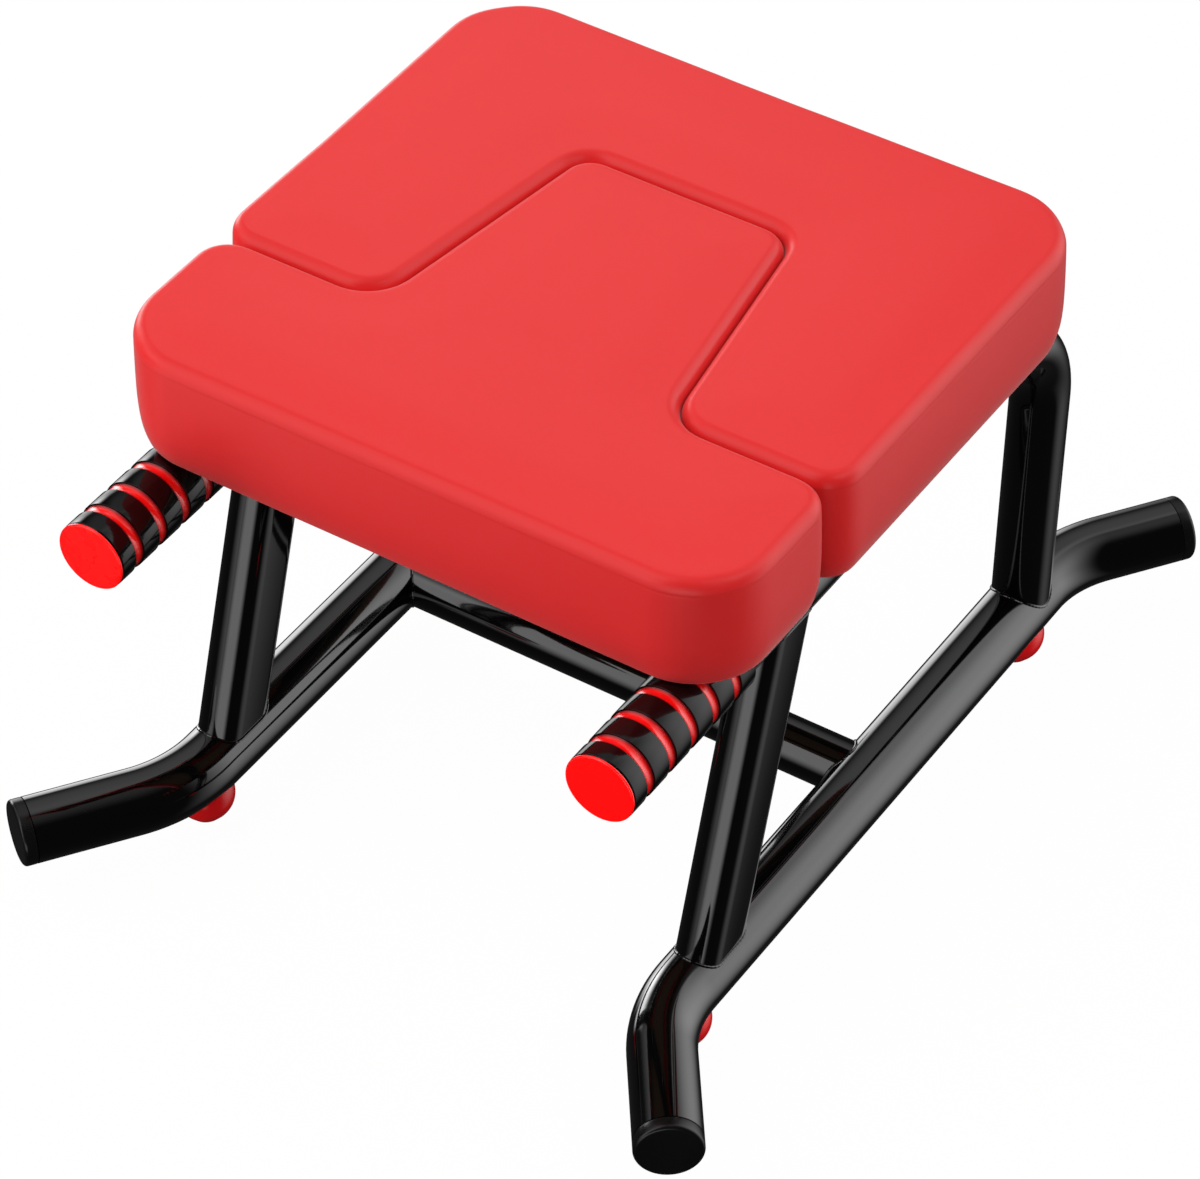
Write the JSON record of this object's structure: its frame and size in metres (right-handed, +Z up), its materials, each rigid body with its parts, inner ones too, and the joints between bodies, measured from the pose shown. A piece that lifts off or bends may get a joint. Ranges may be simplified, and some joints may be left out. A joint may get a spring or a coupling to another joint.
{
  "type": "yoga inversion bench",
  "caption": "Padded bench for headstands: splayed tube frame, front hand grips, U-shaped shoulder pad and a lift-out T-shaped pad that fills its neck opening.",
  "frame": {"origin": "on the floor, under the middle of the overall width and length", "axes": "+Z up, -Y towards the front, where the hand grips are, +X to the right as seen from the front looking towards +Y"},
  "size_m": [0.453, 0.5925, 0.3438],
  "materials": {
    "gloss_black_paint": "gloss",
    "black_bar_paint": "satin",
    "black_plastic": "satin",
    "black_grip_rubber": "gloss",
    "red_grip_rubber": "gloss",
    "red_vinyl": "satin",
    "red_rubber": "gloss",
    "pale_foam": "matte",
    "plywood": "matte",
    "zinc_steel": "satin"
  },
  "bodies": {
    "frame": {"arm_plate_left": "black_bar_paint", "arm_plate_right": "black_bar_paint", "base_cap_front_left": "black_plastic", "base_cap_front_right": "black_plastic", "base_cap_rear_left": "black_plastic", "base_cap_rear_right": "black_plastic", "base_tube_left": "gloss_black_paint", "base_tube_right": "gloss_black_paint", "cross_tube": "gloss_black_paint", "dowel_bush_left": "black_plastic", "dowel_bush_right": "black_plastic", "foot_front_left": "red_rubber", "foot_front_right": "red_rubber", "foot_rear_left": "red_rubber", "foot_rear_right": "red_rubber", "foot_screw_front_left": "zinc_steel", "foot_screw_front_right": "zinc_steel", "foot_screw_rear_left": "zinc_steel", "foot_screw_rear_right": "zinc_steel", "front_crossbar": "black_bar_paint", "front_leg_left": "gloss_black_paint", "front_leg_right": "gloss_black_paint", "grip_cap_left": "red_grip_rubber", "grip_cap_right": "red_grip_rubber", "grip_ring_1_left": "red_grip_rubber", "grip_ring_1_right": "red_grip_rubber", "grip_ring_2_left": "red_grip_rubber", "grip_ring_2_right": "red_grip_rubber", "grip_ring_3_left": "red_grip_rubber", "grip_ring_3_right": "red_grip_rubber", "grip_ring_4_left": "red_grip_rubber", "grip_ring_4_right": "red_grip_rubber", "grip_ring_5_left": "red_grip_rubber", "grip_ring_5_right": "red_grip_rubber", "grip_sleeve_left": "black_grip_rubber", "grip_sleeve_right": "black_grip_rubber", "middle_crossbar": "black_bar_paint", "pad_bolt_arm_left": "zinc_steel", "pad_bolt_arm_right": "zinc_steel", "pad_bolt_rear_left": "zinc_steel", "pad_bolt_rear_right": "zinc_steel", "pad_nut_arm_left": "zinc_steel", "pad_nut_arm_right": "zinc_steel", "pad_nut_rear_left": "zinc_steel", "pad_nut_rear_right": "zinc_steel", "rear_crossbar": "black_bar_paint", "side_rail_left": "gloss_black_paint", "side_rail_right": "gloss_black_paint", "u_pad_board": "plywood", "u_pad_cover": "red_vinyl", "u_pad_foam": "pale_foam"},
    "t_pad": {"t_pad_cover": "red_vinyl", "t_pad_foam": "pale_foam", "t_pad_board": "plywood", "pad_dowel_left": "zinc_steel", "pad_dowel_right": "zinc_steel"}
  },
  "joints": [
    {"name": "t_pad_lift", "type": "slide", "parent": "frame", "child": "t_pad", "axis": [0, 0, 1], "range_m": [0, 0.1]}
  ]
}
